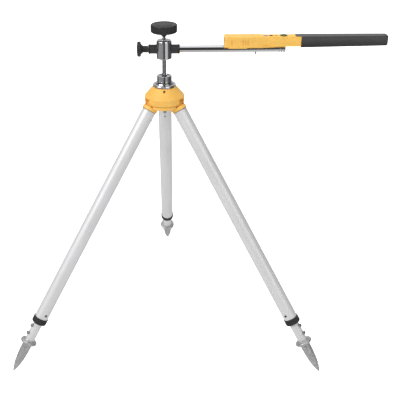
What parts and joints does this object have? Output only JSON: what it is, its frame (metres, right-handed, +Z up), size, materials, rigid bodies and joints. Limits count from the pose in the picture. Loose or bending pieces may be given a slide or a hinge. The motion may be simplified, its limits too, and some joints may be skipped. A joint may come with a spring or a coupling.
{
  "type": "laser level on tripod",
  "caption": "Battery laser level on a sliding, swivelling cross arm above a tripod with folding telescopic legs that end in ground spikes.",
  "frame": {"origin": "on the ground plane, on the tripod's own vertical axis, midway between the three spike tips", "axes": "+Z up along the post; +X along the cross arm towards the laser level; the rear leg points along +Y and the two front legs straddle -Y"},
  "size_m": [1.1132, 0.8229, 1.0185],
  "materials": {
    "yellow_casting": "warm yellow powder coat, satin",
    "yellow_plastic": "warm yellow moulded plastic, satin",
    "black_plastic": "black moulded plastic, fine texture",
    "black_rubber": "black soft-touch rubber",
    "chrome": "bright chrome plating",
    "leg_aluminium": "light satin anodised aluminium",
    "steel": "turned bare steel",
    "spike_steel": "grey forged steel, slightly rough",
    "brass": "bare brass",
    "window": "clear red window",
    "vial": "green liquid vial",
    "board": "green circuit board",
    "grey_plastic": "grey moulded plastic",
    "cell_wrap": "plain printed cell wrap"
  },
  "bodies": {
    "head": {"head_cap": "yellow_casting", "head_base": "yellow_casting", "head_screws": "steel", "hinge_pins": "steel", "post_flange": "chrome"},
    "lock_nut": {"lock_nut": "chrome"},
    "left_leg": {"left_leg_socket": "yellow_casting", "left_leg_tube": "leg_aluminium", "left_leg_screws": "steel", "left_tube_bush": "black_plastic"},
    "left_collar": {"left_lock_collar": "black_rubber"},
    "left_foot": {"left_inner_tube": "leg_aluminium", "left_guide_ring": "black_plastic", "left_foot_spike": "spike_steel", "left_foot_bolts": "steel"},
    "right_leg": {"right_leg_socket": "yellow_casting", "right_leg_tube": "leg_aluminium", "right_leg_screws": "steel", "right_tube_bush": "black_plastic"},
    "right_collar": {"right_lock_collar": "black_rubber"},
    "right_foot": {"right_inner_tube": "leg_aluminium", "right_guide_ring": "black_plastic", "right_foot_spike": "spike_steel", "right_foot_bolts": "steel"},
    "rear_leg": {"rear_leg_socket": "yellow_casting", "rear_leg_tube": "leg_aluminium", "rear_leg_screws": "steel", "rear_tube_bush": "black_plastic"},
    "rear_collar": {"rear_lock_collar": "black_rubber"},
    "rear_foot": {"rear_inner_tube": "leg_aluminium", "rear_guide_ring": "black_plastic", "rear_foot_spike": "spike_steel", "rear_foot_bolts": "steel"},
    "post": {"post": "steel"},
    "clamp": {"clamp_block": "chrome"},
    "pad": {"clamp_pad": "brass"},
    "clamp_knob": {"clamp_knob": "black_plastic", "clamp_stud": "steel"},
    "sleeve": {"arm_sleeve": "black_plastic"},
    "arm": {"arm_rod": "chrome", "arm_end_cap": "chrome", "laser_housing": "yellow_plastic", "laser_base": "yellow_plastic", "laser_cradle": "yellow_plastic", "cradle_bolt": "steel", "lens_bezel": "black_plastic", "lens_window": "window", "laser_module": "brass", "circuit_board": "board", "vial_ring": "black_plastic", "level_vial": "vial", "battery_grip": "black_plastic", "batteries": "cell_wrap", "front_contact": "brass"},
    "end_knob": {"end_knob": "black_plastic", "end_knob_stud": "steel"},
    "button": {"power_button": "grey_plastic"},
    "switch": {"mode_switch": "black_plastic"},
    "cap": {"battery_cap": "black_plastic", "rear_contact": "brass"}
  },
  "joints": [
    {"name": "lock_nut_turn", "type": "hinge", "parent": "head", "child": "lock_nut", "pos_m": [0, 0, 0.855], "axis": [0, 0, 1], "range_deg": [0, 180]},
    {"name": "left_leg_fold", "type": "hinge", "parent": "head", "child": "left_leg", "pos_m": [-0.03074, -0.01775, 0.792], "axis": [0.5, -0.866, 0], "range_deg": [0, 32.5]},
    {"name": "left_leg_extend", "type": "slide", "parent": "left_leg", "child": "left_foot", "axis": [-0.4691, -0.2709, -0.8406], "range_m": [0, 0.38]},
    {"name": "left_collar_twist", "type": "hinge", "parent": "left_leg", "child": "left_collar", "pos_m": [-0.03074, -0.01775, 0.792], "axis": [-0.4691, -0.2709, -0.8406], "range_deg": [0, 90]},
    {"name": "right_leg_fold", "type": "hinge", "parent": "head", "child": "right_leg", "pos_m": [0.03074, -0.01775, 0.792], "axis": [0.5, 0.866, 0], "range_deg": [0, 32.5]},
    {"name": "right_leg_extend", "type": "slide", "parent": "right_leg", "child": "right_foot", "axis": [0.4691, -0.2709, -0.8406], "range_m": [0, 0.38]},
    {"name": "right_collar_twist", "type": "hinge", "parent": "right_leg", "child": "right_collar", "pos_m": [0.03074, -0.01775, 0.792], "axis": [0.4691, -0.2709, -0.8406], "range_deg": [0, 90]},
    {"name": "rear_leg_fold", "type": "hinge", "parent": "head", "child": "rear_leg", "pos_m": [0, 0.0355, 0.792], "axis": [-1, 0, 0], "range_deg": [0, 32.5]},
    {"name": "rear_leg_extend", "type": "slide", "parent": "rear_leg", "child": "rear_foot", "axis": [0, 0.5417, -0.8406], "range_m": [0, 0.38]},
    {"name": "rear_collar_twist", "type": "hinge", "parent": "rear_leg", "child": "rear_collar", "pos_m": [0, 0.0355, 0.792], "axis": [0, 0.5417, -0.8406], "range_deg": [0, 90]},
    {"name": "post_slide", "type": "slide", "parent": "head", "child": "post", "axis": [0, 0, 1], "range_m": [-0.04, 0.04]},
    {"name": "clamp_swivel", "type": "hinge", "parent": "post", "child": "clamp", "pos_m": [0, 0, 0.918], "axis": [0, 0, 1], "continuous": true},
    {"name": "pad_travel", "type": "slide", "parent": "clamp", "child": "pad", "axis": [0, 0, 1], "range_m": [0, 0.003]},
    {"name": "clamp_knob_turn", "type": "hinge", "parent": "pad", "child": "clamp_knob", "pos_m": [0, 0, 0.99], "axis": [0, 0, 1], "range_deg": [0, 720]},
    {"name": "arm_roll", "type": "hinge", "parent": "clamp", "child": "sleeve", "pos_m": [0, 0, 0.945], "axis": [1, 0, 0], "continuous": true},
    {"name": "arm_slide", "type": "slide", "parent": "sleeve", "child": "arm", "axis": [1, 0, 0], "range_m": [-0.12, 0]},
    {"name": "end_knob_turn", "type": "hinge", "parent": "arm", "child": "end_knob", "pos_m": [-0.046, 0, 0.945], "axis": [-1, 0, 0], "range_deg": [0, 720]},
    {"name": "button_press", "type": "slide", "parent": "arm", "child": "button", "axis": [0, 0, -1], "range_m": [0, 0.0015], "stiffness_N_per_m": 400},
    {"name": "switch_slide", "type": "slide", "parent": "arm", "child": "switch", "axis": [1, 0, 0], "range_m": [0, 0.008]},
    {"name": "battery_cap_pull", "type": "slide", "parent": "arm", "child": "cap", "axis": [1, 0, 0], "range_m": [0, 0.02]}
  ],
  "couplings": [
    {"joint": "pad_travel", "follows": "clamp_knob_turn", "m_per_rad": 0.00023873}
  ]
}
